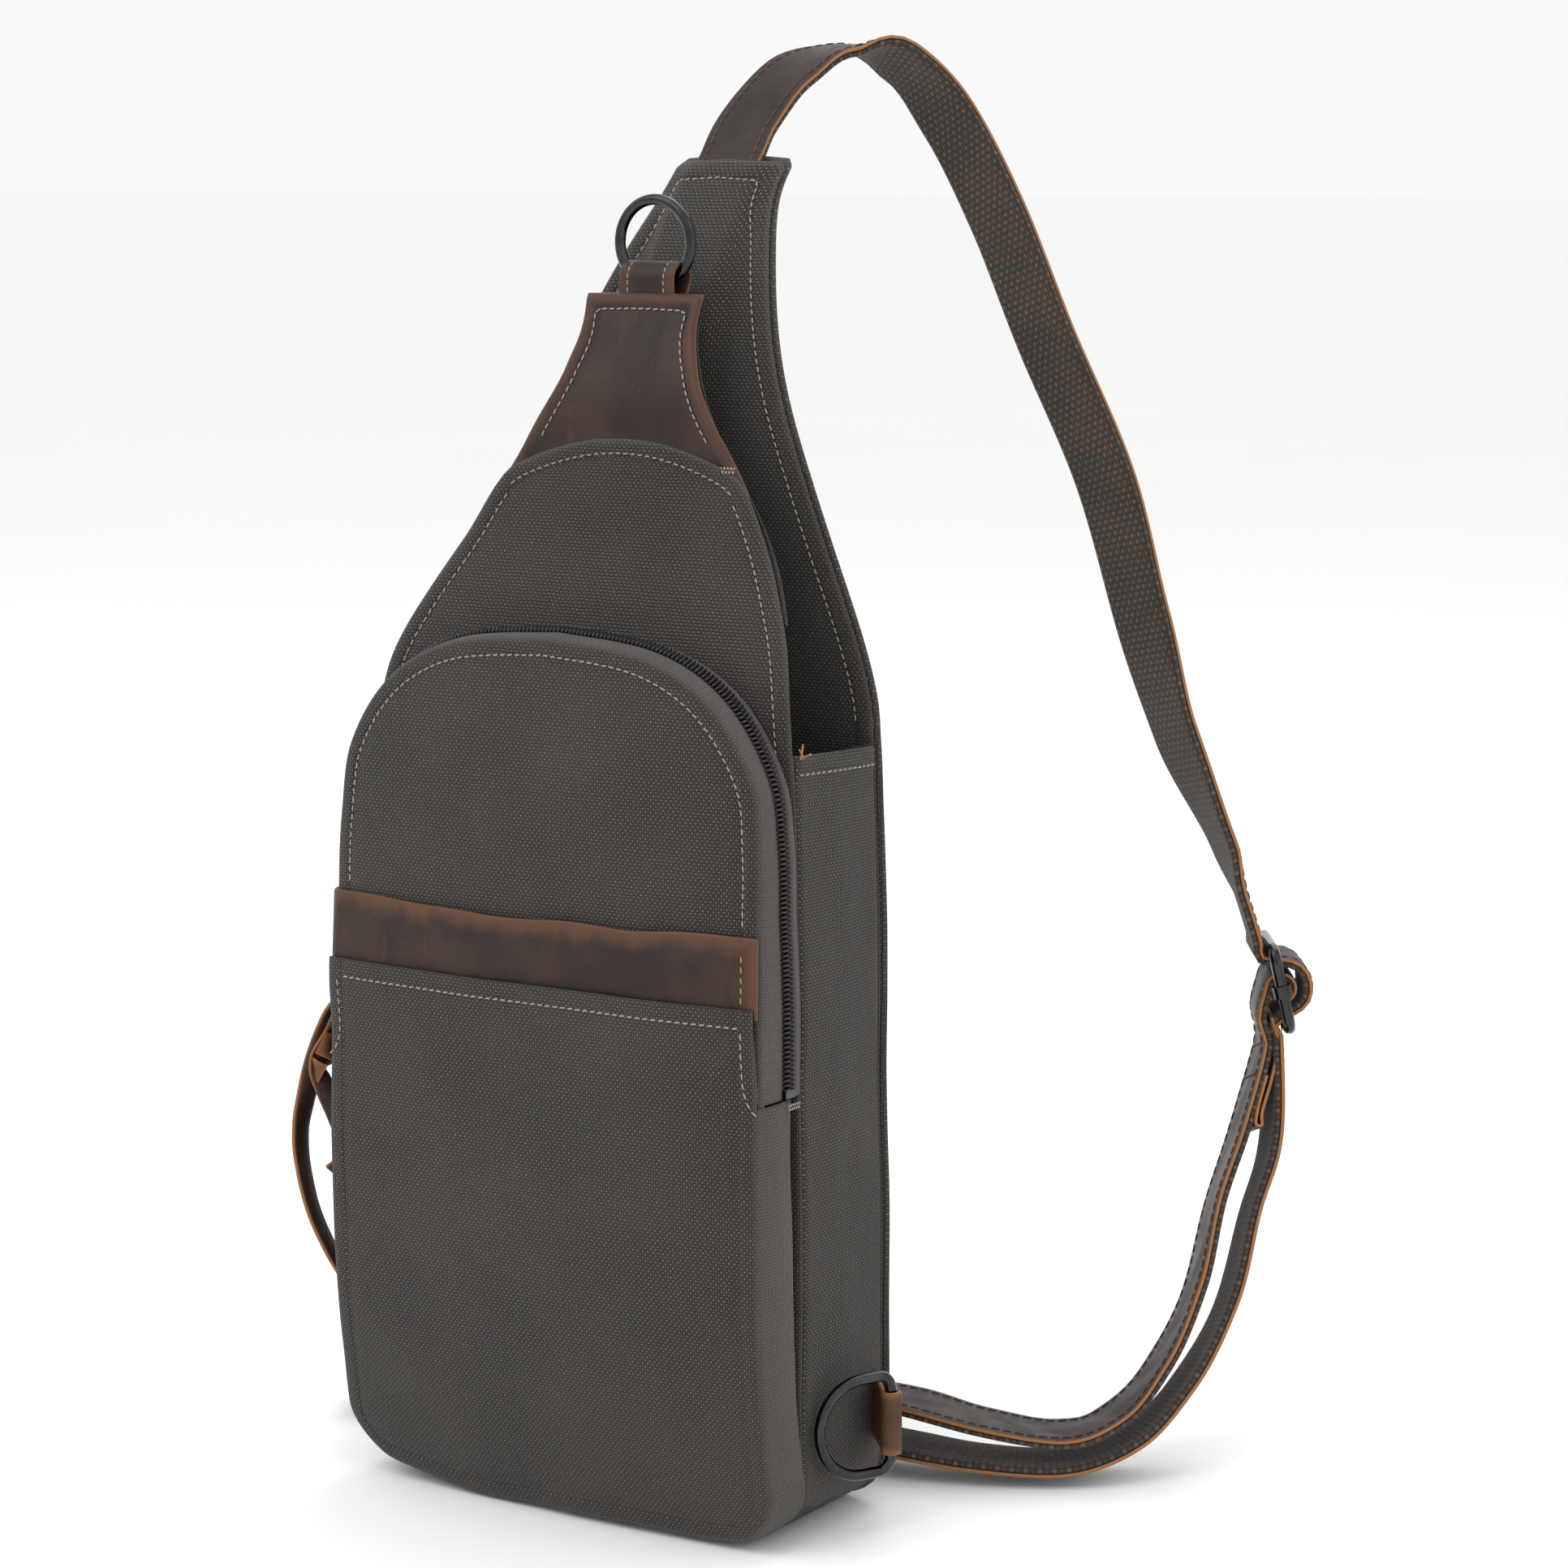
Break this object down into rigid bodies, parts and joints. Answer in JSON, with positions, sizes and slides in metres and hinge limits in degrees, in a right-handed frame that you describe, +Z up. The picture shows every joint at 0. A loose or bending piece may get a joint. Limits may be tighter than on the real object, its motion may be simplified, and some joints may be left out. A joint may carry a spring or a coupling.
{
  "type": "sling bag",
  "caption": "Teardrop canvas sling bag with zipped front pocket, leather-trimmed slip pocket, hanging ring, side D-rings and an adjustable leather-backed webbing strap",
  "frame": {"origin": "middle of the base between the front and back of the main compartment, on the surface that the bag stands on", "axes": "+X to the right seen from the front, -Y the front pocket side, +Z up"},
  "size_m": [0.3235, 0.2514, 0.5008],
  "materials": {
    "canvas": "plain-weave waxed cotton canvas",
    "lining_cloth": "fine polyester lining cloth",
    "mesh_pad": "foam-backed air mesh",
    "zip_tape": "herringbone zip tape",
    "zip_coil": "spiral nylon coil",
    "trim_leather": "oiled pull-up leather",
    "tab_leather": "worn brown leather",
    "strap_leather": "smooth strap leather with raw edges",
    "webbing": "ribbed webbing",
    "gunmetal": "black nickel plate"
  },
  "bodies": {
    "bag": {"back_panel": "canvas", "gusset": "canvas", "front_panel": "canvas", "lining": "lining_cloth", "strap_sleeve": "canvas", "upper_back_pad": "mesh_pad", "lower_back_pad": "mesh_pad", "pocket_panel": "canvas", "pocket_side": "canvas", "zip_tape_front": "zip_tape", "zip_tape_rear": "zip_tape", "zip_teeth": "zip_coil", "zip_stops": "gunmetal", "slip_pocket": "canvas", "leather_band": "trim_leather", "side_tab_right": "tab_leather", "side_tab_left": "tab_leather", "snap_socket": "gunmetal", "strap_upper_leather": "strap_leather", "strap_upper_webbing": "webbing", "strap_weave_leather": "strap_leather", "strap_weave_webbing": "webbing", "strap_loop_leather": "strap_leather", "strap_loop_webbing": "webbing", "strap_end": "strap_leather", "slider_frame": "gunmetal", "slider_bar": "gunmetal"},
    "flap": {"flap_panel": "canvas", "flap_facing": "lining_cloth", "leather_patch": "trim_leather", "ring_tab": "trim_leather", "snap_stud": "gunmetal"},
    "hanging_ring": {"top_ring": "gunmetal"},
    "right_ring": {"d_ring_right": "gunmetal"},
    "left_ring": {"d_ring_left": "gunmetal"},
    "zip_runner": {"zip_slider": "gunmetal"},
    "zip_puller": {"zip_pull": "tab_leather", "zip_pull_tail": "tab_leather"}
  },
  "joints": [
    {"name": "flap_fold", "type": "hinge", "parent": "bag", "child": "flap", "pos_m": [0, -0.01665, 0.3068], "axis": [1, 0, 0], "range_deg": [-2, 70]},
    {"name": "hanging_ring_swing", "type": "hinge", "parent": "flap", "child": "hanging_ring", "pos_m": [0, 0.021, 0.42], "axis": [1, 0, 0], "range_deg": [-20, 90]},
    {"name": "right_ring_swing", "type": "hinge", "parent": "bag", "child": "right_ring", "pos_m": [0.105, 0.004, 0.038], "axis": [0, 0, 1], "range_deg": [0, 150]},
    {"name": "left_ring_swing", "type": "hinge", "parent": "bag", "child": "left_ring", "pos_m": [-0.11091, 0.03243, 0.02354], "axis": [0.5446, -0.8387, 0], "range_deg": [-2, 2]},
    {"name": "zip_travel", "type": "slide", "parent": "bag", "child": "zip_runner", "axis": [0.01, 0, 0.9999], "range_m": [0, 0.036]},
    {"name": "puller_swing", "type": "hinge", "parent": "zip_runner", "child": "zip_puller", "pos_m": [-0.09312, -0.03488, 0.17606], "axis": [0, 1, 0], "range_deg": [0, 80]}
  ]
}
